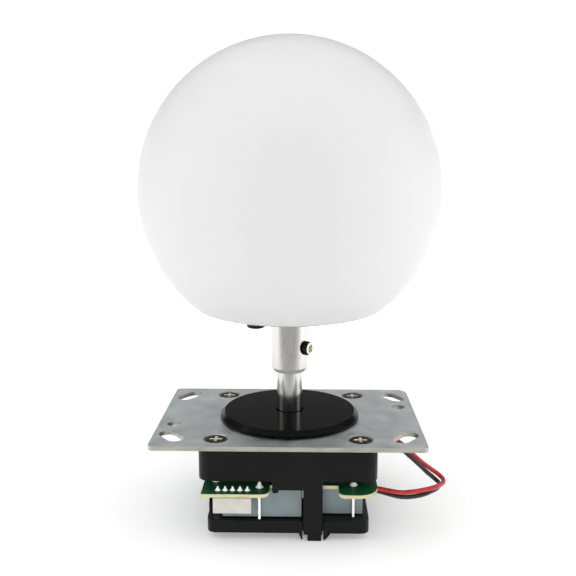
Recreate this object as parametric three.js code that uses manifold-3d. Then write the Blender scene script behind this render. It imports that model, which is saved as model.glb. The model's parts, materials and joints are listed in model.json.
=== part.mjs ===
// Arcade joystick with a long shaft, a milky ball top and a mounting plate, as an assembly of its pieces.
// Millimetres, +Z up, front towards -Y. The origin is on the surface it stands on, below the shaft's axis.
// Every height in this file is measured from the mounting plate's upper face, PLATE_TOP above the origin.
import * as THREE from 'three';
import { mergeVertices } from 'three/addons/utils/BufferGeometryUtils.js';
import Module from 'manifold-3d';

const wasm = await Module();
wasm.setup();

// ---- driving dimensions ----

const GAP = 0.3; // kept between pieces that touch
const QUARTER = Math.PI / 2;
const SIDES = ['front', 'right', 'rear', 'left']; // each a quarter turn on from the last

const PLATE_TOP = 35.7;
const PLATE = { width: 95, depth: 66, thick: 1.6, corner: 2, rearRightCorner: 4.5, bore: 10 };
const SCREW_OFFSET = 25; // the four plate screws stand at (±25, ±25)
const SLOT = { x: 40.9, y: 22.9, length: 11.8, width: 6, angle: 54 }; // panel mounting slots
const PANEL_HOLE = { x: 41.9, y: 10.5, radius: 2.5 };

const WASHER = { radius: 25.85, bore: 5.3, bottom: 0.25, top: 2.65, bevel: 1.6, recess: 22.5 };
const BACKING = { bore: 8, radius: 21, bottom: 0.25, top: 0.65 };

const HOUSING = { width: 62, depth: 60, corner: 4.5, wall: 2.2, top: -1.9, bottom: -13.6, floor: 1.8 };
const CLIP = { left: 5.4, right: 12, front: -29.3, back: -26.9 }; // the front clip post, in plan
const SKIRT = { left: -5.4, thick: 2, bottom: -16.7 };

const BOARD = { top: -16.5, bottom: -17.7, left: -29.5, right: 31, front: -34, rear: 30, bore: 10 };
const NOTCH = { from: -6.3, to: 17.5, depth: -26.3 }; // room in the board for a skirt and its clip post

const SWITCH = { left: -23, right: 4.8, front: -26.2, back: -10.3, top: -18, bottom: -28.3 };
const LEAF = { hingeX: -19, hingeY: -9.9, length: 19.5, thick: 0.3, low: -24.6, high: -22, angle: 6.6 };
const PLUNGER = { x: -3, half: 1.2, low: -24.5, high: -22.1, inner: -13.5, tip: -8.5 };
const TERMINAL = { thick: 0.8, width: 1.2, low: -28.2, high: -15.3 };
const COMMON = { x: -9.9, y: -27.7 };
const CONTACT = { x: -25.4, y: -22.8 };

const PLUG = { left: -25.4, right: -12.4, front: -33.8, back: -28.2, top: -18, bottom: -23.5, wall: 0.8 };
const PIN = { pitch: 2.54, count: 5, y: -30.5, side: 0.64, low: -24.5, high: -15.2 };

const GATE = { side: 56.6, corner: 3, top: -28.6, bottom: -33.3, opening: 7.3 };

const PIVOT_Z = -8.5;
const BALL_JOINT = { ball: 7.5, liner: 8.8, seat: 9.1 };
const SHAFT = { radius: 4.75, foot: 4, bore: 2.2, top: 31, step: -14, bottom: -32.3 };
const ACTUATOR = { radius: 7, inner: 6.2, bore: 4.3, top: -19.8, bottom: -26.9, floor: 1.2 };
const SPRING = { radius: 5.4, wire: 0.45, top: -18, bottom: -24.9, turns: 5 };
const COLLAR = { radius: 6.85, bore: 5.05, bottom: 17.6, top: 44, chamfer: 1.6 };
const COLLAR_SCREW = { z: 26.9, azimuth: -31 };

const BALL = {
  radius: 53.75, crown: 53.75, centre: 83.9, base: 41, fillet: 6, wall: 1.8, floor: 3, neck: 7.2,
};
const FLANGE = { radius: 26, top: 40.7, bottom: 39.7, screws: 2, screwRadius: 22.4, screwAzimuth: -120 };

const FLOOR = -PLATE_TOP;
const WIRE_RADIUS = 0.8;
const HANK = { x: -3, y: 50, straight: 9.4, radius: 7.45, bottom: FLOOR + 1.1, top: FLOOR + 4.5 };
const TIE = { width: 2.6, thick: 0.8 };
const LEAD_PLUG = { left: -27.4, right: -19.6, front: 41.2, back: 47, height: 4.2 };

// ---- geometry helpers ----

function toSolid(geometry) {
  const bare = geometry.clone();
  bare.deleteAttribute('normal');
  bare.deleteAttribute('uv');
  const merged = mergeVertices(bare, 1e-4);
  const vertProperties = new Float32Array(merged.attributes.position.array);
  const triVerts = new Uint32Array(merged.index.array);
  return new wasm.Manifold(new wasm.Mesh({ numProp: 3, vertProperties, triVerts }));
}

function toGeometry(solid) {
  const { vertProperties, triVerts } = solid.getMesh();
  const geometry = new THREE.BufferGeometry();
  geometry.setAttribute('position', new THREE.BufferAttribute(vertProperties, 3));
  geometry.setIndex(new THREE.BufferAttribute(triVerts, 1));
  geometry.computeVertexNormals();
  return geometry;
}

function join(...parts) {
  return toGeometry(parts.map(toSolid).reduce((a, b) => a.add(b)));
}

function cut(body, ...tools) {
  return toGeometry(tools.map(toSolid).reduce((a, b) => a.subtract(b), toSolid(body)));
}

function block(x0, x1, y0, y1, z0, z1) {
  const box = new THREE.BoxGeometry(x1 - x0, y1 - y0, z1 - z0);
  return box.translate((x0 + x1) / 2, (y0 + y1) / 2, (z0 + z1) / 2);
}

function cone(lowRadius, highRadius, z0, z1, { x = 0, y = 0, segments = 32 } = {}) {
  const shape = new THREE.CylinderGeometry(highRadius, lowRadius, z1 - z0, segments);
  return shape.rotateX(QUARTER).translate(x, y, (z0 + z1) / 2);
}

function disc(radius, z0, z1, options) {
  return cone(radius, radius, z0, z1, options);
}

// profile is a list of [radius, height], turned about the Z axis.
function turned(profile, segments = 32) {
  const points = profile.map(([r, z]) => new THREE.Vector2(r, z));
  return new THREE.LatheGeometry(points, segments).rotateX(QUARTER);
}

function slab(shape, z0, z1, curveSegments = 6) {
  const options = { depth: z1 - z0, bevelEnabled: false, curveSegments };
  return new THREE.ExtrudeGeometry(shape, options).translate(0, 0, z0);
}

// radii are those of the corners at (x0, y0), (x1, y0), (x1, y1) and (x0, y1).
function roundedBox(x0, x1, y0, y1, radii) {
  const shape = new THREE.Shape();
  shape.absarc(x0 + radii[0], y0 + radii[0], radii[0], 2 * QUARTER, 3 * QUARTER);
  shape.absarc(x1 - radii[1], y0 + radii[1], radii[1], 3 * QUARTER, 4 * QUARTER);
  shape.absarc(x1 - radii[2], y1 - radii[2], radii[2], 0, QUARTER);
  shape.absarc(x0 + radii[3], y1 - radii[3], radii[3], QUARTER, 2 * QUARTER);
  shape.closePath();
  return shape;
}

function roundedSquare(width, depth, radius) {
  return roundedBox(-width / 2, width / 2, -depth / 2, depth / 2, [radius, radius, radius, radius]);
}

// The same feature on all four sides, each a quarter turn on.
function onEverySide(make) {
  return SIDES.map((_, turn) => make().rotateZ(turn * QUARTER));
}

function tube(points, radius, sides, stepsPerMillimetre) {
  const knots = points.map((p) => new THREE.Vector3(...p));
  const curve = new THREE.CatmullRomCurve3(knots, false, 'centripetal');
  const steps = Math.round(curve.getLength() * stepsPerMillimetre);
  return new THREE.ExtrudeGeometry(circle(radius, sides), { steps, extrudePath: curve });
}

function circle(radius, sides) {
  const corners = Array.from({ length: sides }, (_, i) => {
    const angle = (i * 2 * Math.PI) / sides;
    return new THREE.Vector2(Math.cos(angle) * radius, Math.sin(angle) * radius);
  });
  return new THREE.Shape(corners);
}

// A cross-head recess, cut down from height z.
function crossRecess(z, length, width, depth) {
  const half = length / 2;
  return join(
    block(-half, half, -width / 2, width / 2, z - depth, z + 1),
    block(-width / 2, width / 2, -half, half, z - depth, z + 1),
  );
}

// ---- materials ----

const material = (color, roughness, metalness = 0) =>
  new THREE.MeshStandardMaterial({ color, roughness, metalness });
const zincSteel = material(0x9aa29f, 0.45, 0.8);
const blackPlastic = material(0x26282a, 0.6);
const washerPlastic = material(0x1d1f20, 0.35);
const blackScrew = material(0x1c1b19, 0.4, 0.7);
const brightSteel = material(0xc9c9c4, 0.3, 0.9);
const springSteel = material(0x8f9294, 0.35, 0.9);
const greenBoard = material(0x14603a, 0.4);
const whiteNylon = material(0xe6e4da, 0.5);
const tinnedBrass = material(0xd8cfae, 0.35, 0.8);
const greyCase = material(0x7d8a93, 0.5);
const milkyPlastic = material(0xeef0ea, 0.35);
const redVinyl = material(0xb3262c, 0.4);
const blackVinyl = material(0x1f1e1f, 0.4);
const lampDome = material(0xf3f2e2, 0.2);

const joystick = new THREE.Group();
joystick.position.z = PLATE_TOP;

function add(name, geometry, finish, parent = joystick) {
  const mesh = new THREE.Mesh(geometry, finish);
  mesh.name = name;
  parent.add(mesh);
  return mesh;
}

// ---- mounting plate and its screws ----

function slotHole(x, y, angle) {
  const reach = (SLOT.length - SLOT.width) / 2;
  const [dx, dy] = [Math.cos(angle) * reach, Math.sin(angle) * reach];
  const hole = new THREE.Path();
  hole.absarc(x + dx, y + dy, SLOT.width / 2, angle - QUARTER, angle + QUARTER);
  hole.absarc(x - dx, y - dy, SLOT.width / 2, angle + QUARTER, angle + 3 * QUARTER);
  return hole;
}

function roundHole(x, y, radius) {
  return new THREE.Path().absarc(x, y, radius, 0, 2 * Math.PI);
}

function mountingPlate() {
  const radii = [PLATE.corner, PLATE.corner, PLATE.rearRightCorner, PLATE.corner];
  const outline = roundedBox(-PLATE.width / 2, PLATE.width / 2, -PLATE.depth / 2, PLATE.depth / 2, radii);
  for (const [sx, sy] of [[-1, -1], [1, -1], [1, 1], [-1, 1]]) {
    const lean = THREE.MathUtils.degToRad(-sx * sy * SLOT.angle);
    outline.holes.push(slotHole(sx * SLOT.x, sy * SLOT.y, lean));
  }
  outline.holes.push(roundHole(-PANEL_HOLE.x, -PANEL_HOLE.y, PANEL_HOLE.radius));
  outline.holes.push(roundHole(PANEL_HOLE.x, PANEL_HOLE.y, PANEL_HOLE.radius));
  outline.holes.push(roundHole(0, 0, PLATE.bore));
  const sink = (x, y) => cone(2.5, 4.9, -2, 0.4, { x, y, segments: 20 });
  const corners = screwPlaces().map(([x, y]) => sink(x, y));
  return cut(slab(outline, -PLATE.thick, 0), ...corners);
}

function screwPlaces() {
  return [[-1, -1], [1, -1], [1, 1], [-1, 1]].map(([x, y]) => [x * SCREW_OFFSET, y * SCREW_OFFSET]);
}

function countersunkScrew() {
  const profile = [
    [0, -11.5], [1.2, -11.5], [1.8, -10.9], [1.8, -2.1], [3.75, -0.35], [3.75, -0.15], [0, -0.15],
  ];
  return cut(turned(profile, 16), crossRecess(-0.15, 4.4, 0.9, 1.3));
}

add('mounting_plate', mountingPlate(), zincSteel);
screwPlaces().forEach(([x, y], i) => {
  add(`plate_screw_${i + 1}`, countersunkScrew(), blackScrew).position.set(x, y, 0);
});

// ---- dust washer, on a thin backing ring that slides over the plate ----

function dustWasher() {
  const { radius, bore, bottom, top, bevel, recess } = WASHER;
  const recessTop = BACKING.top + GAP;
  const profile = [
    [bore, recessTop], [recess, recessTop], [recess, bottom], [radius, bottom], [radius, bottom + 0.8],
    [radius - bevel, top], [bore, top], [bore, recessTop],
  ];
  const mouldMark = block(-1.1, 1.1, -radius - 0.5, -radius + 1, bottom + 0.05, bottom + 0.7);
  return join(turned(profile, 56), mouldMark);
}

function washerBacking() {
  const { bore, radius, bottom, top } = BACKING;
  return turned([[bore, bottom], [radius, bottom], [radius, top], [bore, top], [bore, bottom]], 28);
}

add('washer_backing', washerBacking(), blackPlastic);
add('dust_washer', dustWasher(), washerPlastic);

// ---- main housing, with its ball seat, board standoffs, skirts and clip posts ----

function housingShell() {
  const { width, depth, corner, wall, top, bottom, floor } = HOUSING;
  const cavity = roundedSquare(width - 2 * wall, depth - 2 * wall, corner - wall);
  const outer = slab(roundedSquare(width, depth, corner), bottom, top);
  return cut(outer, slab(cavity, bottom + floor, top + 1));
}

function clipPost() {
  const { left, right, front, back } = CLIP;
  const post = block(left, right, front, back, GATE.bottom, HOUSING.bottom + 0.5);
  const tab = block(left + 1.4, right - 0.4, front + 0.3, back, FLOOR, GATE.bottom + 0.2);
  const barb = block(left + 1.4, right - 0.4, back - 0.2, back + 1.3, FLOOR + 0.4, GATE.bottom - GAP);
  return join(post, tab, barb);
}

function skirt() {
  const front = -HOUSING.depth / 2;
  const wall = block(SKIRT.left, CLIP.right, front, front + SKIRT.thick, SKIRT.bottom, HOUSING.bottom + 0.5);
  const web = block(CLIP.left, CLIP.right, front + 0.2, CLIP.back, SKIRT.bottom, HOUSING.bottom + 0.5);
  const nubPlace = { x: SKIRT.left + 1.1, y: front + 1.1, segments: 14 };
  const nub = disc(1.1, SKIRT.bottom - 1.1, SKIRT.bottom + 1, nubPlace);
  return join(wall, web, nub);
}

function mainHousing() {
  const { top, bottom } = HOUSING;
  const screwBosses = screwPlaces().map(([x, y]) => disc(4.2, bottom, top, { x, y, segments: 20 }));
  const standoffPlace = { x: -20, y: -18, segments: 12 };
  const standoffs = onEverySide(() => disc(1.6, BOARD.top + GAP, bottom + 1, standoffPlace));
  const seatBoss = join(disc(14, bottom, top), disc(12.5, -14.9, bottom + 1));
  const hangers = [...onEverySide(skirt), ...onEverySide(clipPost)];
  const body = join(housingShell(), seatBoss, ...screwBosses, ...standoffs, ...hangers);
  const seat = new THREE.SphereGeometry(BALL_JOINT.seat, 24, 14).rotateX(QUARTER).translate(0, 0, PIVOT_Z);
  const mouth = disc(BALL_JOINT.seat, PIVOT_Z, top + 1);
  const throat = disc(6.9, -16, PIVOT_Z);
  const threads = screwPlaces().map(([x, y]) => disc(2.15, -12.6, top + 1, { x, y, segments: 16 }));
  return cut(body, seat, mouth, throat, ...threads);
}

function springSeat() {
  return turned([[5.9, -16.4], [9, -16.4], [9, -15.2], [5.9, -15.2], [5.9, -16.4]], 28);
}

add('main_housing', mainHousing(), blackPlastic);
add('spring_seat', springSeat(), springSteel);

// ---- switch board and its five-pin header ----

function boardOutline() {
  const { left, right, front, rear } = BOARD;
  const { from, to, depth } = NOTCH;
  const shape = new THREE.Shape();
  shape.moveTo(left, front);
  shape.lineTo(from - 3, front);
  shape.absarc(from - 3, front + 3, 3, -QUARTER, 0);
  shape.lineTo(from, depth);
  shape.lineTo(to, depth);
  shape.lineTo(to, front + 2.5);
  shape.absarc(to + 2.5, front + 2.5, 2.5, 2 * QUARTER, 3 * QUARTER);
  shape.lineTo(24.5, front);
  shape.quadraticCurveTo(30.4, front + 0.6, right, front + 7.5);
  shape.lineTo(right, from);
  shape.lineTo(-depth, from);
  shape.lineTo(-depth, to);
  shape.lineTo(right, to);
  shape.lineTo(right, rear);
  shape.lineTo(-from, rear);
  shape.lineTo(-from, -depth);
  shape.lineTo(-to, -depth);
  shape.lineTo(-to, rear);
  shape.lineTo(left, rear);
  shape.lineTo(left, -from);
  shape.lineTo(depth, -from);
  shape.lineTo(depth, -to);
  shape.lineTo(left, -to);
  shape.closePath();
  shape.holes.push(roundHole(0, 0, BOARD.bore));
  return shape;
}

function pinPlaces() {
  const middle = (PLUG.left + PLUG.right) / 2;
  return Array.from({ length: PIN.count }, (_, i) => middle + (i - (PIN.count - 1) / 2) * PIN.pitch);
}

function switchBoard() {
  const { top, bottom } = BOARD;
  const opening = ({ x, y }) => () => block(x - 0.9, x + 0.9, y - 0.9, y + 0.9, bottom - 1, top + 1);
  const pinHoles = pinPlaces().map((x) => disc(0.75, bottom - 1, top + 1, { x, y: PIN.y, segments: 10 }));
  const terminalHoles = [...onEverySide(opening(COMMON)), ...onEverySide(opening(CONTACT))];
  return cut(slab(boardOutline(), bottom, top, 8), ...pinHoles, ...terminalHoles);
}

function headerShroud() {
  const { left, right, front, back, top, bottom, wall } = PLUG;
  const inside = block(left + wall, right - wall, front + wall, back - wall, bottom - 1, top - 1);
  const holes = pinPlaces().map((x) => disc(0.75, top - 2, top + 1, { x, y: PIN.y, segments: 10 }));
  return cut(block(left, right, front, back, bottom, top), inside, ...holes);
}

function headerPin(x) {
  const half = PIN.side / 2;
  return block(x - half, x + half, PIN.y - half, PIN.y + half, PIN.low, PIN.high);
}

add('switch_board', switchBoard(), greenBoard);
add('header_shroud', headerShroud(), whiteNylon);
pinPlaces().forEach((x, i) => add(`header_pin_${i + 1}`, headerPin(x), tinnedBrass));

// ---- one microswitch with its terminals, leaf and plunger for each side, laid out as a pinwheel ----

function switchCase() {
  const { left, right, front, back, top, bottom } = SWITCH;
  const room = 0.5;
  const well = block(
    PLUNGER.x - PLUNGER.half - room, PLUNGER.x + PLUNGER.half + room,
    PLUNGER.inner - 1.7, back + 1, PLUNGER.low - room, PLUNGER.high + room,
  );
  const hole = (x, y) => disc(1.55, bottom - 1, top + 1, { x, y, segments: 12 });
  return cut(block(left, right, front, back, bottom, top), well, hole(-20.2, -22.9), hole(2, -12.6));
}

function commonTerminal() {
  const { thick, width, low, high } = TERMINAL;
  const { x, y } = COMMON;
  const blade = block(x - thick / 2, x + thick / 2, y - width / 2, y + width / 2, low, high);
  const stub = block(x - thick / 2, x + thick / 2, y, SWITCH.front - GAP, low + 1.6, low + 4.2);
  return join(blade, stub);
}

function contactTerminal() {
  const { thick, width, low, high } = TERMINAL;
  const { x, y } = CONTACT;
  const blade = block(x - width / 2, x + width / 2, y - thick / 2, y + thick / 2, low, high);
  const stub = block(x, SWITCH.left - GAP, y - thick / 2, y + thick / 2, low + 1.6, low + 4.2);
  return join(blade, stub);
}

function leafLever() {
  const { length, thick, low, high } = LEAF;
  return block(0, length, -thick / 2, thick / 2, low, high);
}

function plunger() {
  const { x, half, low, high, inner, tip } = PLUNGER;
  return block(x - half, x + half, inner, tip, low, high);
}

SIDES.forEach((side, turn) => {
  const quarter = new THREE.Group();
  quarter.rotation.z = turn * QUARTER;
  joystick.add(quarter);
  add(`microswitch_${side}`, switchCase(), greyCase, quarter);
  add(`common_terminal_${side}`, commonTerminal(), tinnedBrass, quarter);
  add(`contact_terminal_${side}`, contactTerminal(), tinnedBrass, quarter);
  add(`switch_plunger_${side}`, plunger(), blackPlastic, quarter);
  const leaf = add(`switch_leaf_${side}`, leafLever(), springSteel, quarter);
  leaf.position.set(LEAF.hingeX, LEAF.hingeY, 0);
  leaf.rotation.z = THREE.MathUtils.degToRad(LEAF.angle);
});

// ---- restrictor gate, held by the housing's four clip posts ----

function gateTooth(base, points) {
  const shape = new THREE.Shape(points.map(([x, z]) => new THREE.Vector2(x, z)));
  return slab(shape, 0, base).rotateX(QUARTER).translate(0, -27.6, 0);
}

function gateClipFrame() {
  const { top, bottom } = GATE;
  const deep = 1.6;
  const leftRib = block(3.9, CLIP.left - GAP, -29.2, -28, bottom, top);
  const rightRib = block(CLIP.right + GAP, 13.9, -29.2, -28, bottom, top);
  const tip = FLOOR + 0.5;
  const leftTooth = gateTooth(deep, [
    [3.9, bottom + 0.2], [3.9, bottom], [4.7, tip], [5.1, tip], [5.1, bottom + 0.2],
  ]);
  const rightTooth = gateTooth(deep, [
    [12.3, bottom + 0.2], [12.3, tip], [13, tip], [14.6, bottom], [14.6, bottom + 0.2],
  ]);
  return join(leftRib, rightRib, leftTooth, rightTooth);
}

function restrictorGate() {
  const { side, corner, top, bottom, opening } = GATE;
  const plate = slab(roundedSquare(side, side, corner), bottom, top);
  const [low, high] = [CLIP.left - GAP, CLIP.right + GAP];
  const notches = onEverySide(() => block(low, high, -40, CLIP.back + GAP, bottom - 5, top + 1));
  const window = slab(roundedSquare(2 * opening, 2 * opening, 1.5), bottom - 1, top + 1, 4);
  const dish = disc(11.5, top - 1.2, top + 1);
  const underside = slab(roundedSquare(48, 48, 4), bottom - 1, bottom + 1.2, 4);
  const rim = slab(roundedSquare(2 * opening + 5, 2 * opening + 5, 3), bottom - 1, bottom + 2, 4);
  const framed = join(cut(plate, ...notches), ...onEverySide(gateClipFrame));
  return cut(framed, window, dish, cut(underside, rim));
}

add('restrictor_gate', restrictorGate(), blackPlastic);

// ---- ball joint: a liner that turns in the housing's seat, and the ball that turns in the liner ----

function ballZone(radius, low, high, bore, steps) {
  const start = Math.asin(low / radius);
  const end = Math.asin(high / radius);
  const arc = Array.from({ length: steps + 1 }, (_, i) => {
    const angle = start + ((end - start) * i) / steps;
    return [Math.cos(angle) * radius, Math.sin(angle) * radius];
  });
  return [...arc, ...bore];
}

function pivotLiner() {
  const outer = ballZone(BALL_JOINT.liner, -5.1, 1.5, [], 4);
  const inner = ballZone(BALL_JOINT.ball + GAP, -5.1, 1.5, [], 4).reverse();
  return turned([...outer, ...inner, outer[0]], 24);
}

function pivotBall() {
  const bore = SHAFT.radius + GAP;
  const profile = ballZone(BALL_JOINT.ball, -5.2, 3.6, [[bore, 3.6], [bore, -5.2]], 6);
  return turned([...profile, profile[0]], 24);
}

add('pivot_liner', pivotLiner(), whiteNylon).position.z = PIVOT_Z;
add('pivot_ball', pivotBall(), whiteNylon).position.z = PIVOT_Z;

// ---- lever: shaft, actuator, clip and spring ----

function shaft() {
  const { radius, foot, bore, top, step, bottom } = SHAFT;
  const groove = ACTUATOR.bottom - GAP;
  return turned([
    [bore, bottom], [foot - 0.5, bottom], [foot, bottom + 0.5], [foot, groove - 1], [3, groove - 1],
    [3, groove + 0.3], [foot, groove + 0.3], [foot, step], [radius, step + 0.7],
    [radius, top], [bore, top], [bore, bottom],
  ], 24);
}

function actuator() {
  const { radius, inner, bore, top, bottom, floor } = ACTUATOR;
  return turned([
    [bore, bottom], [radius - 0.6, bottom], [radius, bottom + 0.6], [radius, top], [inner, top],
    [inner, bottom + floor], [bore, bottom + floor], [bore, bottom],
  ], 28);
}

function clipRing() {
  const opening = 0.55;
  const shape = new THREE.Shape();
  shape.absarc(0, 0, 5, -QUARTER + opening, 3 * QUARTER - opening);
  shape.absarc(0, 0, 3.3, 3 * QUARTER - opening, -QUARTER + opening, true);
  shape.closePath();
  const top = ACTUATOR.bottom - GAP;
  return slab(shape, top - 0.7, top, 10);
}

// A coil spring whose end turns lie nearly flat.
class SpringLine extends THREE.Curve {
  getPoint(t) {
    const turn = t * SPRING.turns * 2 * Math.PI;
    const climb = THREE.MathUtils.smoothstep(t, 0, 1) * 0.5 + t * 0.5;
    const z = THREE.MathUtils.lerp(SPRING.bottom, SPRING.top, climb);
    return new THREE.Vector3(Math.cos(turn) * SPRING.radius, Math.sin(turn) * SPRING.radius, z);
  }
}

function centeringSpring() {
  const options = { steps: SPRING.turns * 12, extrudePath: new SpringLine() };
  return new THREE.ExtrudeGeometry(circle(SPRING.wire, 5), options);
}

add('shaft', shaft(), brightSteel);
add('actuator', actuator(), blackPlastic);
add('e_clip', clipRing(), springSteel);
add('centering_spring', centeringSpring(), springSteel);

// ---- lever: collar, ball top and its lamp ----

function collar() {
  const { radius, bore, bottom, top, chamfer } = COLLAR;
  const sleeve = turned([
    [bore, bottom], [radius - 1.1, bottom], [radius, bottom + chamfer],
    [radius, top], [bore, top], [bore, bottom],
  ], 28);
  const hole = disc(1.8, 3, 12, { segments: 14 }).rotateY(QUARTER);
  hole.rotateZ(THREE.MathUtils.degToRad(COLLAR_SCREW.azimuth)).translate(0, 0, COLLAR_SCREW.z);
  return cut(sleeve, hole);
}

// A pan-head screw that points down -Z, with the underside of its head at height 0.
function panScrew(headRadius, headHeight, shankRadius, length) {
  const profile = [
    [0, -length], [shankRadius, -length], [shankRadius, 0], [headRadius, 0], [headRadius, headHeight * 0.5],
    [headRadius * 0.86, headHeight * 0.82], [headRadius * 0.55, headHeight], [0, headHeight],
  ];
  const recess = crossRecess(headHeight, headRadius * 1.25, headRadius * 0.27, headHeight * 0.6);
  return cut(turned(profile, 14), recess);
}

function collarScrew() {
  const screw = panScrew(2.6, 2, 1.5, 1.9);
  return screw.translate(0, 0, COLLAR.radius + 0.25).rotateY(QUARTER);
}

function ballShell() {
  const { radius, crown, base, fillet, wall, floor } = BALL;
  const outer = globeProfile(radius, crown, base, fillet, 16);
  const inner = globeProfile(radius - wall, crown - wall, base + floor, fillet, 10);
  const globe = turned([[0, base], ...outer], 44);
  const hollow = turned([[0, base + floor], ...inner], 28);
  const screwHoles = flangeScrewPlaces().map(([x, y]) => disc(2.3, 35, 50, { x, y, segments: 12 }));
  return cut(globe, hollow, disc(BALL.neck, 30, 60, { segments: 32 }), ...screwHoles);
}

// From the flat base, round the fillet and up the globe to the crown.
function globeProfile(radius, crown, base, fillet, steps) {
  const drop = BALL.centre - base - fillet;
  const filletX = Math.sqrt((radius - fillet) ** 2 - drop ** 2);
  const meeting = -Math.atan2(drop, filletX);
  const points = [];
  for (let i = 0; i <= 3; i += 1) {
    const angle = THREE.MathUtils.lerp(-QUARTER, meeting, i / 3);
    points.push([filletX + Math.cos(angle) * fillet, base + fillet + Math.sin(angle) * fillet]);
  }
  for (let i = 1; i < steps; i += 1) {
    const angle = THREE.MathUtils.lerp(meeting, QUARTER, i / steps);
    const height = Math.sin(angle) * (angle > 0 ? crown : radius);
    points.push([Math.cos(angle) * radius, BALL.centre + height]);
  }
  return [...points, [0, BALL.centre + crown]];
}

function flangeScrewPlaces() {
  return Array.from({ length: FLANGE.screws }, (_, i) => {
    const angle = THREE.MathUtils.degToRad(FLANGE.screwAzimuth + (i * 360) / FLANGE.screws);
    return [Math.cos(angle) * FLANGE.screwRadius, Math.sin(angle) * FLANGE.screwRadius];
  });
}

function ballFlange() {
  const { radius, top, bottom } = FLANGE;
  const holes = flangeScrewPlaces().map(([x, y]) => disc(2.3, bottom - 1, top + 1, { x, y, segments: 12 }));
  return cut(disc(radius, bottom, top, { segments: 32 }), disc(BALL.neck, bottom - 1, top + 1), ...holes);
}

function flangeScrew() {
  return panScrew(3.2, 1.5, 1.6, 4.5).rotateX(Math.PI);
}

function lampBoard() {
  const hole = disc(SHAFT.bore, COLLAR.top, COLLAR.top + 3, { segments: 16 });
  return cut(disc(6.5, COLLAR.top + GAP, COLLAR.top + 1.3, { segments: 28 }), hole);
}

function lamp() {
  const base = COLLAR.top + 1.3 + GAP;
  return turned([
    [0, base], [1.6, base], [1.6, base + 0.8], [1.35, base + 0.8], [1.35, base + 2.6],
    [0.95, base + 3.5], [0, base + 3.9],
  ], 10);
}

add('collar', collar(), brightSteel);
const collarScrewMesh = add('collar_screw', collarScrew(), blackScrew);
collarScrewMesh.rotation.z = THREE.MathUtils.degToRad(COLLAR_SCREW.azimuth);
collarScrewMesh.position.z = COLLAR_SCREW.z;
add('ball_shell', ballShell(), milkyPlastic);
add('ball_flange', ballFlange(), brightSteel);
flangeScrewPlaces().forEach(([x, y], i) => {
  add(`flange_screw_${i + 1}`, flangeScrew(), blackScrew).position.set(x, y, FLANGE.bottom - GAP);
});
add('lamp_board', lampBoard(), greenBoard);
[0, 1, 2].forEach((i) => {
  const angle = (i * 2 * Math.PI) / 3;
  add(`lamp_${i + 1}`, lamp(), lampDome).position.set(Math.cos(angle) * 4.2, Math.sin(angle) * 4.2, 0);
});

// ---- lamp lead: two loose wires from under the board, round behind, into a tied hank with a plug ----

const RED_ROUTE = [
  [27.4, -22.4, -18.9], [31.4, -23.4, -18.6], [34.9, -25.4, -18.4], [38.8, -28, -17.9], [42.6, -29.6, -16.9],
  [46.3, -29.9, -16.1], [49.6, -28.9, -15.7], [52.7, -26.6, -15.6], [54.3, -23.2, -15.5], [53.3, -19.2, -15],
  [50.6, -17.2, -13.6], [48, -16.9, -11.7], [45.6, -17, -9.6], [43.3, -17, -7.4], [40.8, -16.9, -5],
  [38.2, -16, -3.5], [35.9, -13.6, -3], [34.8, -9.8, -3], [34.6, -3, -3.2], [34.6, 6, -3.9],
  [34.8, 16, -5.8], [34.5, 25, -9.8], [32.4, 32.6, -15.2], [28.8, 38.4, -21.2], [24.4, 42.4, -26.2],
  [19.8, 44.6, -29], [15.6, 45.1, -30], [11.4, 45.1, -30.1],
];

const BLACK_ROUTE = [
  [27.9, -20.9, -20.2], [32, -22.2, -20.2], [35.6, -24.6, -20.2], [39.4, -27.5, -19.8], [43.2, -29.2, -18.8],
  [46.6, -29.2, -18], [49.2, -27.9, -17.5], [51.7, -25.7, -17.2], [52.9, -23, -16.9], [51.9, -19.6, -16.4],
  [49.4, -18.5, -14.6], [47.3, -18.6, -12.5], [45, -18.8, -10.3], [42.6, -18.8, -8.1], [39.9, -18.5, -5.8],
  [36.9, -17.3, -4.4], [34.2, -14.5, -3.8], [32.9, -10, -3.6], [32.7, -3.1, -3.8], [32.6, 5.9, -4.5],
  [32.8, 15.9, -6], [32.5, 24.9, -9.5], [30.6, 32.7, -14.2], [27.4, 38.8, -19.8], [23.3, 42.8, -24.5],
  [19.1, 44.8, -27.1], [15.3, 45.1, -28], [11.4, 45.1, -28.1],
];

// Both wires' remaining length, as the outer shape of one flat hank of loops.
function leadHank() {
  const { x, y, straight, radius, bottom, top } = HANK;
  const outline = roundedBox(
    x - straight - radius, x + straight + radius, y - radius, y + radius, [radius, radius, radius, radius],
  );
  return slab(outline, bottom, top, 7);
}

function leadTie() {
  const { x, y, radius, bottom, top } = HANK;
  const [low, high] = [x - TIE.width / 2, x + TIE.width / 2];
  const inner = radius + GAP;
  const outer = inner + TIE.thick;
  const band = block(low, high, y - outer, y + outer, FLOOR, top + GAP + TIE.thick);
  return cut(band, block(low - 1, high + 1, y - inner, y + inner, bottom - GAP, top + GAP));
}

function leadPlug() {
  const { left, right, front, back, height } = LEAD_PLUG;
  const middle = (front + back) / 2;
  const body = block(left + 2.2, right, front, back, FLOOR, FLOOR + height);
  const nose = block(left, left + 3, front + 0.6, back - 0.6, FLOOR + 0.5, FLOOR + height - 0.7);
  const top = FLOOR + height;
  const latch = block(left + 0.6, right - 2, middle - 1.1, middle + 1.1, top - 1, top + 0.7);
  return join(body, nose, latch);
}

add('red_wire', tube(RED_ROUTE, WIRE_RADIUS, 8, 0.3), redVinyl);
add('black_wire', tube(BLACK_ROUTE, WIRE_RADIUS, 8, 0.3), blackVinyl);
add('lead_hank', leadHank(), redVinyl);
add('lead_tie', leadTie(), blackPlastic);
add('lead_plug', leadPlug(), whiteNylon);

export default joystick;
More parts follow.
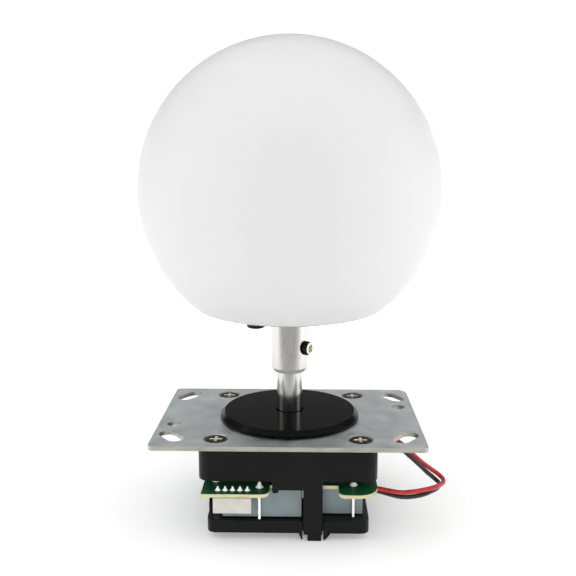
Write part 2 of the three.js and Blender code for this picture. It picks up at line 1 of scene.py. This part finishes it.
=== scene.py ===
"""Arcade joystick with a milky ball top: its looks. Metres, +Z up, front towards -Y."""
import json
import math

import bmesh
import bpy
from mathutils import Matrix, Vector

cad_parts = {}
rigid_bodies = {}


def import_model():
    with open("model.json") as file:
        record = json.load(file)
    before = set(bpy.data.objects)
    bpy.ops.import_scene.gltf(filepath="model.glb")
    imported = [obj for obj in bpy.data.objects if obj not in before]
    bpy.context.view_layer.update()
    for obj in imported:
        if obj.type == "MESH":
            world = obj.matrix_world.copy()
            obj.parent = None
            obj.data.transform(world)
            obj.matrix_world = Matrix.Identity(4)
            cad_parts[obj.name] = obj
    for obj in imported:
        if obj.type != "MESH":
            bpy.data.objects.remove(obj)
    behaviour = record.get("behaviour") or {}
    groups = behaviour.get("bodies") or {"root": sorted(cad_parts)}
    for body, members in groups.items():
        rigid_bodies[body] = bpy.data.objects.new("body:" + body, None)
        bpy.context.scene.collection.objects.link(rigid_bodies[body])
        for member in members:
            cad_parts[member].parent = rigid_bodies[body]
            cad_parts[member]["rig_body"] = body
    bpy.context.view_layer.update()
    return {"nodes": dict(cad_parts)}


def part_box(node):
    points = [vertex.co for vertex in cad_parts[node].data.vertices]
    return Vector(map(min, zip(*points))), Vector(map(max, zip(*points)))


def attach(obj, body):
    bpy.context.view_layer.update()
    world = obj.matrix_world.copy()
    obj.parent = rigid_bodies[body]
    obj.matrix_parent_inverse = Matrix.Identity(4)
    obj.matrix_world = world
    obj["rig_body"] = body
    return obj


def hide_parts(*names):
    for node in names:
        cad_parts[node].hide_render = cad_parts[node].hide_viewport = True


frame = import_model()

MM = 0.001
PLATE_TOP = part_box("mounting_plate")[1].z
SIDES = ("front", "right", "rear", "left")


def place(x, y, z):
    """A point in millimetres from the centre of the plate's upper face, in the frame's metres."""
    return Vector((x * MM, y * MM, PLATE_TOP + z * MM))


# ---- camera ----

CAMERA_PLACE = place(5.7, -285.1, 98.1)
CAMERA_PITCH = 0.172
CAMERA_YAW = 0.022
LENS = 49.4


def make_camera():
    data = bpy.data.cameras.new("camera")
    data.lens = LENS
    data.sensor_width = 36
    data.clip_start = 0.01
    camera = bpy.data.objects.new("camera", data)
    camera.location = CAMERA_PLACE
    camera.rotation_euler = (math.pi / 2 - CAMERA_PITCH, 0, CAMERA_YAW)
    bpy.context.scene.collection.objects.link(camera)
    bpy.context.scene.camera = camera


make_camera()

# ---- materials ----


class Surface:
    """A Principled material whose colour, roughness and relief come from noise in object space."""

    def __init__(self, name, color, roughness, metallic=0.0, **sockets):
        self.material = bpy.data.materials.new(name)
        self.material.use_nodes = True
        self.nodes = self.material.node_tree.nodes
        self.links = self.material.node_tree.links
        self.shader = self.nodes["Principled BSDF"]
        self.color = color
        self.roughness = roughness
        self.shader.inputs["Base Color"].default_value = (*color, 1)
        self.shader.inputs["Roughness"].default_value = roughness
        self.shader.inputs["Metallic"].default_value = metallic
        for socket, value in sockets.items():
            self.shader.inputs[socket.replace("_", " ")].default_value = value
        self.coordinates = self.nodes.new("ShaderNodeTexCoord").outputs["Object"]

    def noise(self, size, detail=3.0, stretch=(1, 1, 1)):
        """Noise whose blotches are about size metres across, drawn out along an axis by stretch."""
        mapping = self.nodes.new("ShaderNodeMapping")
        mapping.inputs["Scale"].default_value = [1 / s for s in stretch]
        self.links.new(self.coordinates, mapping.inputs["Vector"])
        noise = self.nodes.new("ShaderNodeTexNoise")
        noise.inputs["Scale"].default_value = 1 / size
        noise.inputs["Detail"].default_value = detail
        self.links.new(mapping.outputs["Vector"], noise.inputs["Vector"])
        return noise.outputs["Fac"]

    def ramp(self, factor, stops):
        """stops are (position, (r, g, b)) pairs."""
        ramp = self.nodes.new("ShaderNodeValToRGB")
        elements = ramp.color_ramp.elements
        while len(elements) < len(stops):
            elements.new(0.5)
        for element, (position, color) in zip(elements, stops):
            element.position = position
            element.color = (*color, 1)
        self.links.new(factor, ramp.inputs["Fac"])
        return ramp.outputs["Color"]

    def mottle(self, size, amount, **options):
        darker = [c * (1 - amount) for c in self.color]
        lighter = [min(1, c * (1 + amount)) for c in self.color]
        color = self.ramp(self.noise(size, **options), [(0.3, darker), (0.7, lighter)])
        self.links.new(color, self.shader.inputs["Base Color"])
        return self

    def smudge(self, size, amount, **options):
        spread = self.nodes.new("ShaderNodeMapRange")
        spread.inputs["From Min"].default_value = 0.3
        spread.inputs["From Max"].default_value = 0.7
        spread.inputs["To Min"].default_value = max(0.02, self.roughness - amount)
        spread.inputs["To Max"].default_value = min(1, self.roughness + amount)
        self.links.new(self.noise(size, **options), spread.inputs["Value"])
        self.links.new(spread.outputs["Result"], self.shader.inputs["Roughness"])
        return self

    def grain(self, size, depth, **options):
        bump = self.nodes.new("ShaderNodeBump")
        bump.inputs["Distance"].default_value = depth
        self.links.new(self.noise(size, **options), bump.inputs["Height"])
        self.links.new(bump.outputs["Normal"], self.shader.inputs["Normal"])
        return self


def zinc_plate():
    surface = Surface("zinc_plate", (0.68, 0.725, 0.725), 0.44, metallic=1.0)
    surface.mottle(0.012, 0.1, detail=5)
    surface.smudge(0.006, 0.08)
    return surface.grain(0.0006, 0.00003, stretch=(14, 1, 1))


def cut_steel():
    surface = Surface("cut_steel", (0.46, 0.45, 0.4), 0.42, metallic=0.85)
    surface.mottle(0.002, 0.15, stretch=(4, 4, 1))
    surface.smudge(0.002, 0.08)
    return surface.grain(0.0004, 0.00003, stretch=(6, 6, 1))


def moulded_black():
    surface = Surface("moulded_black", (0.0028, 0.0035, 0.003), 0.34, Specular_IOR_Level=0.17)
    return surface.mottle(0.01, 0.25).smudge(0.008, 0.07).grain(0.00045, 0.00012)


def washer_black():
    surface = Surface("washer_black", (0.0025, 0.003, 0.0025), 0.16, Specular_IOR_Level=0.07)
    return surface.mottle(0.0012, 0.3).smudge(0.0008, 0.06).grain(0.0004, 0.000016)


def polished_steel():
    surface = Surface("polished_steel", (0.66, 0.65, 0.61), 0.14, metallic=1.0)
    surface.mottle(0.004, 0.05)
    surface.smudge(0.003, 0.05, stretch=(1, 1, 8))
    return surface.grain(0.0003, 0.000008, stretch=(1, 1, 10))


def satin_steel():
    surface = Surface("satin_steel", (0.62, 0.61, 0.575), 0.2, metallic=1.0)
    surface.mottle(0.0006, 0.08)
    surface.smudge(0.0008, 0.07, stretch=(1, 1, 6))
    return surface.grain(0.0005, 0.00002, stretch=(1, 1, 3))


# Painted light: a lighter copy of the collar's steel for its downward chamfer, so that it looks lit
# instead of reflecting the black washer below; its higher roughness only spreads the reflection.
def underside_lightened_steel():
    surface = Surface("underside_lightened_steel", (0.8, 0.79, 0.74), 0.5, metallic=0.6)
    return surface.mottle(0.0006, 0.08).smudge(0.0008, 0.07).grain(0.0005, 0.00002)


def spring_steel():
    surface = Surface("spring_steel", (0.5, 0.5, 0.5), 0.3, metallic=1.0)
    return surface.mottle(0.002, 0.12).smudge(0.002, 0.06).grain(0.0003, 0.00001)


def black_oxide():
    surface = Surface("black_oxide", (0.006, 0.006, 0.005), 0.3, Specular_IOR_Level=0.2)
    return surface.mottle(0.0012, 0.35).smudge(0.001, 0.1).grain(0.0003, 0.00002)


def brass_recess():
    surface = Surface("brass_recess", (0.95, 0.88, 0.68), 0.4, metallic=0.25)
    return surface.mottle(0.0008, 0.25).smudge(0.0008, 0.1).grain(0.0002, 0.00002)


def board_green():
    surface = Surface("board_green", (0.006, 0.07, 0.022), 0.34, Specular_IOR_Level=0.22)
    surface.mottle(0.003, 0.3, stretch=(6, 1, 1))
    surface.smudge(0.004, 0.08)
    return surface.grain(0.0009, 0.00003, stretch=(8, 1, 1))


def board_edge():
    surface = Surface("board_edge", (0.5, 0.47, 0.28), 0.6)
    surface.mottle(0.0008, 0.2, stretch=(5, 5, 1))
    surface.smudge(0.001, 0.08)
    return surface.grain(0.0003, 0.00005, stretch=(6, 6, 1))


def nylon():
    waxy = {"Subsurface_Weight": 0.2, "Subsurface_Scale": 0.0012}
    surface = Surface("nylon", (0.47, 0.465, 0.42), 0.42, **waxy)
    return surface.mottle(0.004, 0.06).smudge(0.003, 0.06).grain(0.0006, 0.00003)


def tinned():
    surface = Surface("tinned", (0.95, 0.94, 0.88), 0.36, metallic=0.2)
    return surface.mottle(0.001, 0.15).smudge(0.001, 0.1).grain(0.0004, 0.00003)


def switch_grey():
    surface = Surface("switch_grey", (0.165, 0.202, 0.213), 0.42)
    return surface.mottle(0.006, 0.08).smudge(0.004, 0.06).grain(0.0004, 0.00005)


def milky():
    surface = Surface(
        "milky", (0.8, 0.8, 0.782), 0.36, Subsurface_Weight=0.6, Subsurface_Scale=0.012,
        Specular_IOR_Level=0.12,
    )
    surface.shader.inputs["Subsurface Radius"].default_value = (1, 1, 0.9)
    return surface.mottle(0.05, 0.006).grain(0.02, 0.00004)


def vinyl(name, color):
    surface = Surface(name, color, 0.3, Coat_Weight=0.3, Coat_Roughness=0.2)
    return surface.mottle(0.003, 0.12).smudge(0.003, 0.07).grain(0.0008, 0.00005)


def lamp_resin():
    surface = Surface("lamp_resin", (0.93, 0.92, 0.84), 0.15, Transmission_Weight=0.5)
    return surface.mottle(0.001, 0.04).smudge(0.001, 0.04).grain(0.0005, 0.00001)


ZINC = zinc_plate().material
CUT_STEEL = cut_steel().material
BLACK = moulded_black().material
WASHER = washer_black().material
STEEL = polished_steel().material
SATIN = satin_steel().material
UNDERSIDE_LIGHTENED = underside_lightened_steel().material
SPRING = spring_steel().material
OXIDE = black_oxide().material
RECESS = brass_recess().material
GREEN = board_green().material
EDGE = board_edge().material
NYLON = nylon().material
TINNED = tinned().material
SWITCH = switch_grey().material
MILKY = milky().material
RED = vinyl("red_vinyl", (0.4, 0.014, 0.016)).material
BLACK_VINYL = vinyl("black_vinyl", (0.012, 0.011, 0.012)).material
LAMP = lamp_resin().material


# ---- mesh helpers ----


def new_object(name, mesh, body, materials):
    piece = bpy.data.objects.new(name, mesh)
    bpy.context.scene.collection.objects.link(piece)
    for material in materials:
        mesh.materials.append(material)
    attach(piece, body)
    return piece


def shade(mesh, angle=32):
    mesh.shade_smooth()
    mesh.set_sharp_from_angle(angle=math.radians(angle))


def round_edges(piece, width, angle=35):
    bevel = piece.modifiers.new("round_edges", "BEVEL")
    bevel.width = width
    bevel.segments = 2
    bevel.limit_method = "ANGLE"
    bevel.angle_limit = math.radians(angle)
    bevel.use_clamp_overlap = True
    bevel.harden_normals = False


def refine(node, materials, edge=0.0, choose=None):
    """A finished piece in a CAD node's place: the same solid with merged flats, smooth rounds and
    softened edges. choose(polygon) gives the number of a polygon's material."""
    source = frame["nodes"][node]
    mesh = source.data.copy()
    mesh.materials.clear()
    work = bmesh.new()
    work.from_mesh(mesh)
    bmesh.ops.remove_doubles(work, verts=work.verts, dist=1e-6)
    bmesh.ops.dissolve_limit(work, angle_limit=math.radians(1), verts=work.verts, edges=work.edges)
    work.to_mesh(mesh)
    work.free()
    if mesh.has_custom_normals:
        mesh.attributes.remove(mesh.attributes["custom_normal"])
    shade(mesh)
    piece = new_object(f"{node}_fine", mesh, source["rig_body"], materials)
    if choose:
        for polygon in mesh.polygons:
            polygon.material_index = choose(polygon)
    if edge:
        round_edges(piece, edge)
    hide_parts(node)
    return piece


def ring_points(radius, height, count, x=0.0, y=0.0):
    turns = (i * 2 * math.pi / count for i in range(count))
    return [(x + math.cos(a) * radius, y + math.sin(a) * radius, height) for a in turns]


def lathe(name, profile, centre, body, material, segments=128):
    """profile is a list of (radius, height) that closes on itself or starts and ends on the axis."""
    work = bmesh.new()
    rings = []
    for radius, height in profile:
        if radius < 1e-7:
            rings.append([work.verts.new((0, 0, height))])
            continue
        rings.append([work.verts.new(point) for point in ring_points(radius, height, segments)])
    for low, high in zip(rings, rings[1:]):
        for i in range(segments):
            lower = [low[i % len(low)], low[(i + 1) % len(low)]]
            upper = [high[(i + 1) % len(high)], high[i % len(high)]]
            unique = list(dict.fromkeys(lower + upper))
            if len(unique) > 2:
                work.faces.new(unique)
    bmesh.ops.recalc_face_normals(work, faces=work.faces)
    bmesh.ops.translate(work, vec=centre, verts=work.verts)
    mesh = bpy.data.meshes.new(name)
    work.to_mesh(mesh)
    work.free()
    shade(mesh)
    return new_object(name, mesh, body, [material])


# ---- lamp lead ----

WIRE_DIAMETER = 0.0016
HANK = {"x": -3, "y": 50, "straight": 9.4, "inner": 4.9, "outer": 6.65}
PLUG_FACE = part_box("lead_plug")[1].x

RED_ROUTE = [
    (27.4, -22.4, -18.9), (31.4, -23.4, -18.6), (34.9, -25.4, -18.4), (38.8, -28, -17.9),
    (42.6, -29.6, -16.9), (46.3, -29.9, -16.1), (49.6, -28.9, -15.7), (52.7, -26.6, -15.6),
    (54.3, -23.2, -15.5), (53.3, -19.2, -15), (50.6, -17.2, -13.6), (48, -16.9, -11.7),
    (45.6, -17, -9.6), (43.3, -17, -7.4), (40.8, -16.9, -5), (38.2, -16, -3.5),
    (35.9, -13.6, -3), (34.8, -9.8, -3), (34.6, -3, -3.2), (34.6, 6, -3.9),
    (34.8, 16, -5.8), (34.5, 25, -9.8), (32.4, 32.6, -15.2), (28.8, 38.4, -21.2),
    (24.4, 42.4, -26.2), (19.8, 44.6, -29), (15.6, 45.1, -30), (11.4, 45.1, -30.1),
]

BLACK_ROUTE = [
    (27.9, -20.9, -20.2), (32, -22.2, -20.2), (35.6, -24.6, -20.2), (39.4, -27.5, -19.8),
    (43.2, -29.2, -18.8), (46.6, -29.2, -18), (49.2, -27.9, -17.5), (51.7, -25.7, -17.2),
    (52.9, -23, -16.9), (51.9, -19.6, -16.4), (49.4, -18.5, -14.6), (47.3, -18.6, -12.5),
    (45, -18.8, -10.3), (42.6, -18.8, -8.1), (39.9, -18.5, -5.8), (36.9, -17.3, -4.4),
    (34.2, -14.5, -3.8), (32.9, -10, -3.6), (32.7, -3.1, -3.8), (32.6, 5.9, -4.5),
    (32.8, 15.9, -6), (32.5, 24.9, -9.5), (30.6, 32.7, -14.2), (27.4, 38.8, -19.8),
    (23.3, 42.8, -24.5), (19.1, 44.8, -27.1), (15.3, 45.1, -28), (11.4, 45.1, -28.1),
]


def arc(x, y, radius, start, end, height):
    """Points on a level arc, in millimetres, from one angle to another in degrees."""
    angles = [math.radians(start + (end - start) * i / 12) for i in range(13)]
    return [(x + math.cos(a) * radius, y + math.sin(a) * radius, height) for a in angles]


def hank_turns(entry, height):
    """One and a half loops: down into the inner lane, round the left end, out and round the right."""
    x, y, straight, inner, outer = HANK.values()
    drop = entry - height
    steps = ((7, 0.1), (3, 0.45), (-1, 0.85))
    descent = [(along, y - inner, entry - share * drop) for along, share in steps]
    settle = [(-5, y - inner, height), (-9, y - inner, height)]
    left = arc(x - straight, y, inner, 270, 90, height)
    crossing = [(x - 4, y + inner + 0.5, height), (x + 4, y + outer - 0.5, height)]
    right = arc(x + straight, y, outer, 90, -90, height)
    front = [(x + along, y - outer, height) for along in (4, -4, -straight)]
    return descent + settle + left + crossing + right + front


def wire(name, route, height, last, material):
    """A wire along its route and round the hank at that height, with its last stretch into the plug."""
    points = route + hank_turns(route[-1][2], height) + last
    curve = bpy.data.curves.new(name, "CURVE")
    curve.dimensions = "3D"
    curve.bevel_depth = WIRE_DIAMETER / 2
    curve.bevel_resolution = 4
    curve.resolution_u = 6
    curve.use_fill_caps = True
    spline = curve.splines.new("BEZIER")
    spline.bezier_points.add(len(points) - 1)
    for knot, point in zip(spline.bezier_points, points):
        knot.co = place(*point)
        knot.handle_left_type = "AUTO"
        knot.handle_right_type = "AUTO"
    curve.materials.append(material)
    piece = bpy.data.objects.new(name, curve)
    bpy.context.scene.collection.objects.link(piece)
    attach(piece, "base")
    return piece


def lead():
    floor = -PLATE_TOP / MM
    low, high, middle = floor + 1.95, floor + 3.7, floor + 2.1
    face = PLUG_FACE / MM
    red_end = [(face + 4.6, 43.1, low), (face + 2, 42.9, middle), (face - 0.05, 42.9, middle)]
    black_end = [(face + 4.6, 43.7, high - 0.2), (face + 2, 44.6, low + 0.8), (face - 0.05, 45.2, middle)]
    red = wire("red_lead", RED_ROUTE, low, red_end, RED)
    black = wire("black_lead", BLACK_ROUTE, high, black_end, BLACK_VINYL)
    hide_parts("red_wire", "lead_hank")
    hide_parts("black_wire")
    tie = refine("lead_tie", [BLACK], edge=0.0002)
    plug = refine("lead_plug", [NYLON], edge=0.00025)


lead()

# ---- ball, collar and shaft ----

BALL_LOW, BALL_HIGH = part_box("ball_shell")
BALL_CENTRE_Z = PLATE_TOP + 0.0839
BALL_FILLET = 0.006
BALL_WALL = 0.0018
BALL_FLOOR = 0.003
BALL_NECK = 0.0072


def globe_profile(radius, crown, base, steps):
    """From the flat base round its fillet and up to the crown."""
    drop = BALL_CENTRE_Z - base - BALL_FILLET
    fillet_x = math.sqrt((radius - BALL_FILLET) ** 2 - drop**2)
    meeting = -math.atan2(drop, fillet_x)
    points = []
    for i in range(9):
        angle = -math.pi / 2 + (meeting + math.pi / 2) * i / 8
        reach = fillet_x + math.cos(angle) * BALL_FILLET
        points.append((reach, base + BALL_FILLET + math.sin(angle) * BALL_FILLET))
    for i in range(1, steps):
        angle = meeting + (math.pi / 2 - meeting) * i / steps
        rise = math.sin(angle) * (crown if angle > 0 else radius)
        points.append((math.cos(angle) * radius, BALL_CENTRE_Z + rise))
    return points + [(0, BALL_CENTRE_Z + crown)]


def ball():
    radius = BALL_HIGH.x - 0.00001
    crown = BALL_HIGH.z - BALL_CENTRE_Z
    base = BALL_LOW.z
    outer = [(BALL_NECK, base)] + globe_profile(radius, crown, base, 72)
    inner = globe_profile(radius - BALL_WALL, crown - BALL_WALL, base + BALL_FLOOR, 48)
    skin = lathe("ball_skin", outer, (0, 0, 0), "lever", MILKY, 160)
    neck = [(BALL_NECK, base), (BALL_NECK, base + BALL_FLOOR)] + inner
    lining = lathe("ball_lining", neck, (0, 0, 0), "lever", MILKY, 96)
    lining.data.flip_normals()
    pieces = {"active_object": skin, "selected_editable_objects": [skin, lining]}
    with bpy.context.temp_override(**pieces):
        bpy.ops.object.join()
    work = bmesh.new()
    work.from_mesh(skin.data)
    bmesh.ops.remove_doubles(work, verts=work.verts, dist=1e-7)
    work.to_mesh(skin.data)
    work.free()
    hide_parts("ball_shell")


RECESS_REACH = 0.0024
RECESS_DEPTH = (0.0001, 0.0018)


def bright_recess(node, downwards=False):
    """Chooses the second material for the faces inside a screw's cross recess."""
    low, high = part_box(node)
    centre = (low + high) / 2

    def choose(polygon):
        away = polygon.center - centre
        reach = math.hypot(away.x, away.y)
        depth = (polygon.center.z - low.z) if downwards else (high.z - polygon.center.z)
        return 1 if reach < RECESS_REACH and RECESS_DEPTH[0] < depth < RECESS_DEPTH[1] else 0

    return choose


# Picks the collar's downward faces for the lighter steel, which is painted light on its chamfer.
def underside(polygon):
    return 1 if polygon.normal.z < -0.2 else 0


def lever():
    ball()
    for node, material in (("shaft", STEEL), ("actuator", BLACK), ("ball_flange", STEEL)):
        refine(node, [material], edge=0.00015)
    # The collar's underside gets painted light: a lighter steel chosen by face direction.
    refine("collar", [SATIN, UNDERSIDE_LIGHTENED], edge=0.00015, choose=underside)
    for node in [n for n in frame["nodes"] if n.startswith("flange_screw_")]:
        refine(node, [OXIDE, RECESS], edge=0.0001, choose=bright_recess(node, downwards=True))
    for i in (1, 2, 3):
        refine(f"lamp_{i}", [LAMP])
    refine("collar_screw", [OXIDE, RECESS], edge=0.0001, choose=collar_screw_recess)
    refine("lamp_board", [GREEN], edge=0.0001)
    refine("e_clip", [SPRING], edge=0.0001)
    refine("centering_spring", [SPRING])
    refine("pivot_ball", [NYLON], edge=0.0002)
    refine("pivot_liner", [NYLON], edge=0.0002)
    refine("spring_seat", [SPRING], edge=0.0002)


COLLAR_SCREW_AZIMUTH = math.radians(-31)
COLLAR_SCREW_TOP = 0.0091
COLLAR_RECESS_REACH = 0.0018
COLLAR_RECESS_DEPTH = (0.0001, 0.0013)


def collar_screw_recess(polygon):
    low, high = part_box("collar_screw")
    axis = Vector((math.cos(COLLAR_SCREW_AZIMUTH), math.sin(COLLAR_SCREW_AZIMUTH), 0))
    along = polygon.center.dot(axis)
    depth = COLLAR_SCREW_TOP - along
    across = (polygon.center - axis * along - Vector((0, 0, (low.z + high.z) / 2))).length
    inside = COLLAR_RECESS_DEPTH[0] < depth < COLLAR_RECESS_DEPTH[1]
    return 1 if across < COLLAR_RECESS_REACH and inside else 0


lever()

# ---- plate, washer and screws ----


def cut_faces(polygon):
    """The plate's sheared edges, slot walls and countersinks are brighter than its faces."""
    return 0 if abs(polygon.normal.z) > 0.95 else 1


def plate():
    refine("mounting_plate", [ZINC, CUT_STEEL], edge=0.00012, choose=cut_faces)
    refine("dust_washer", [WASHER], edge=0.00025)
    refine("washer_backing", [BLACK])
    for i in (1, 2, 3, 4):
        node = f"plate_screw_{i}"
        refine(node, [OXIDE, RECESS], edge=0.00008, choose=bright_recess(node))


plate()

# ---- housing, gate, board, header and switches ----


def board_faces(polygon):
    return 0 if abs(polygon.normal.z) > 0.5 else 1


SOLDER_FLANK = ((1, 0), (0.62, 0.28), (0.4, 0.7), (0.24, 1))
SOLDER_SIDES = 12
PIN_SOLDER = (0.00105, 0.0011)
TERMINAL_SOLDER = (0.00145, 0.0019)


def solder_joint(work, x, y, base, radius, height):
    """A small cone of solder with a concave flank, standing on the board at that place."""
    rings = []
    for reach, rise in SOLDER_FLANK:
        points = ring_points(radius * reach, base + height * rise, SOLDER_SIDES, x, y)
        rings.append([work.verts.new(point) for point in points])
    for low, high in zip(rings, rings[1:]):
        for i in range(SOLDER_SIDES):
            after = (i + 1) % SOLDER_SIDES
            work.faces.new((low[i], low[after], high[after], high[i]))
    work.faces.new(rings[-1])
    work.faces.new(list(reversed(rings[0])))


def solder():
    work = bmesh.new()
    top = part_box("switch_board")[1].z
    for i in range(1, 6):
        low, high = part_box(f"header_pin_{i}")
        solder_joint(work, (low.x + high.x) / 2, (low.y + high.y) / 2, top, *PIN_SOLDER)
    for side in SIDES:
        for kind in ("common", "contact"):
            solder_joint(work, *blade_place(f"{kind}_terminal_{side}"), top, *TERMINAL_SOLDER)
    mesh = bpy.data.meshes.new("solder_joints")
    work.to_mesh(mesh)
    work.free()
    shade(mesh, 60)
    new_object("solder_joints", mesh, "base", [TINNED])


def blade_place(node):
    """The middle of a terminal's highest face, in plan."""
    mesh = frame["nodes"][node].data
    top = max(v.co.z for v in mesh.vertices)
    corners = [v.co for v in mesh.vertices if v.co.z > top - 1e-6]
    return sum(c.x for c in corners) / len(corners), sum(c.y for c in corners) / len(corners)


def lower_body():
    refine("main_housing", [BLACK], edge=0.0004)
    refine("restrictor_gate", [BLACK], edge=0.0003)
    refine("switch_board", [GREEN, EDGE], edge=0.0, choose=board_faces)
    refine("header_shroud", [NYLON], edge=0.0002)
    for i in range(1, 6):
        refine(f"header_pin_{i}", [TINNED], edge=0.00008)
    for side in SIDES:
        refine(f"microswitch_{side}", [SWITCH], edge=0.00035)
        refine(f"common_terminal_{side}", [TINNED], edge=0.00008)
        refine(f"contact_terminal_{side}", [TINNED], edge=0.00008)
        refine(f"switch_plunger_{side}", [BLACK], edge=0.0001)
        refine(f"switch_leaf_{side}", [SPRING], edge=0.00005)
    solder()


lower_body()

# ---- floor, light and world ----

FLOOR_NEAR = (0.07, 0.3)
FLOOR_GLOW = (0.2, 0.62)
FLOOR_FRONT = (-0.2, -0.065)
FLOOR_FRONT_SHARE = 0.22
FLOOR_FRONT_GREY = (0.34, 0.34, 0.34)
WORLD_STRENGTH = 1.2
WORLD_BY_HEIGHT = ((0.0, 0.9), (0.185, 0.9), (0.25, 0.12), (0.5, 0.16), (0.7, 0.7), (0.9, 0.85))
WORLD_FRONT = (-1.0, -0.6)
WORLD_FRONT_SHARE = 0.4


def floor():
    mesh = bpy.data.meshes.new("floor")
    work = bmesh.new()
    bmesh.ops.create_grid(work, x_segments=1, y_segments=1, size=6)
    work.to_mesh(mesh)
    work.free()
    surface = Surface("floor_white", (0.92, 0.92, 0.92), 0.8, Specular_IOR_Level=0.1)
    light_table(surface)
    piece = bpy.data.objects.new("floor", mesh)
    mesh.materials.append(surface.material)
    piece.location.z = -0.0002
    bpy.context.scene.collection.objects.link(piece)


def light_table(surface):
    """A glowing floor: brighter away from the object, so that it stays white, and greyer at the front."""
    away = surface.nodes.new("ShaderNodeVectorMath")
    away.operation = "LENGTH"
    surface.links.new(surface.coordinates, away.inputs[0])
    axes = surface.nodes.new("ShaderNodeSeparateXYZ")
    surface.links.new(surface.coordinates, axes.inputs["Vector"])
    glow = smooth_range(surface, away.outputs["Value"], FLOOR_NEAR, FLOOR_GLOW)
    apron = smooth_range(surface, axes.outputs["Y"], FLOOR_FRONT, (FLOOR_FRONT_SHARE, 1))
    both = surface.nodes.new("ShaderNodeMath")
    both.operation = "MULTIPLY"
    surface.links.new(glow, both.inputs[0])
    surface.links.new(apron, both.inputs[1])
    surface.shader.inputs["Emission Color"].default_value = (1, 1, 1, 1)
    surface.links.new(both.outputs["Value"], surface.shader.inputs["Emission Strength"])
    grey = surface.ramp(apron, [(FLOOR_FRONT_SHARE, FLOOR_FRONT_GREY), (1, surface.color)])
    surface.links.new(grey, surface.shader.inputs["Base Color"])


def smooth_range(surface, value, start_end, low_high):
    change = surface.nodes.new("ShaderNodeMapRange")
    change.interpolation_type = "SMOOTHSTEP"
    change.inputs["From Min"].default_value, change.inputs["From Max"].default_value = start_end
    change.inputs["To Min"].default_value, change.inputs["To Max"].default_value = low_high
    surface.links.new(value, change.inputs["Value"])
    return change.outputs["Result"]


def softbox(name, location, target, size, power, glossy=True):
    light = bpy.data.lights.new(name, "AREA")
    light.shape = "RECTANGLE"
    light.size, light.size_y = size
    light.energy = power
    lamp = bpy.data.objects.new(name, light)
    lamp.location = location
    lamp.rotation_euler = (Vector(target) - Vector(location)).to_track_quat("-Z", "Y").to_euler()
    lamp.visible_glossy = glossy
    bpy.context.scene.collection.objects.link(lamp)


def world():
    """A studio that is white overhead and round the horizon, and dimmer between and in front."""
    studio = bpy.data.worlds.new("studio")
    bpy.context.scene.world = studio
    studio.use_nodes = True
    nodes, links = studio.node_tree.nodes, studio.node_tree.links
    direction = nodes.new("ShaderNodeTexCoord").outputs["Generated"]
    axes = nodes.new("ShaderNodeSeparateXYZ")
    links.new(direction, axes.inputs["Vector"])
    ramp = nodes.new("ShaderNodeValToRGB")
    elements = ramp.color_ramp.elements
    while len(elements) < len(WORLD_BY_HEIGHT):
        elements.new(0.5)
    for element, (height, grey) in zip(elements, WORLD_BY_HEIGHT):
        element.position = height
        element.color = (grey, grey, grey, 1)
    links.new(axes.outputs["Z"], ramp.inputs["Fac"])
    links.new(ramp.outputs["Color"], nodes["Background"].inputs["Color"])
    dim = nodes.new("ShaderNodeMapRange")
    dim.interpolation_type = "SMOOTHSTEP"
    dim.inputs["From Min"].default_value, dim.inputs["From Max"].default_value = WORLD_FRONT
    dim.inputs["To Min"].default_value = WORLD_FRONT_SHARE * WORLD_STRENGTH
    dim.inputs["To Max"].default_value = WORLD_STRENGTH
    links.new(axes.outputs["Y"], dim.inputs["Value"])
    links.new(dim.outputs["Result"], nodes["Background"].inputs["Strength"])


floor()
world()
softbox("left_softbox", (-0.75, -0.1, 0.45), (0, 0, 0.11), (0.45, 0.6), 0.8)
softbox("right_softbox", (0.75, 0.02, 0.28), (0, 0, 0.11), (0.45, 0.6), 1.3)
softbox("top_softbox", (0, 0.1, 1.1), (0, 0, 0.1), (0.9, 0.9), 0.6)
softbox("left_fill", (-0.8, -0.5, 0.35), (0, 0, 0.12), (0.6, 0.6), 1.1, glossy=False)
softbox("right_fill", (0.8, -0.5, 0.35), (0, 0, 0.12), (0.6, 0.6), 0.8, glossy=False)
softbox("front_fill", (0, -1.0, 0.24), (0, 0, 0.13), (0.9, 0.4), 6.4, glossy=False)
bpy.context.scene.view_settings.view_transform = "Standard"
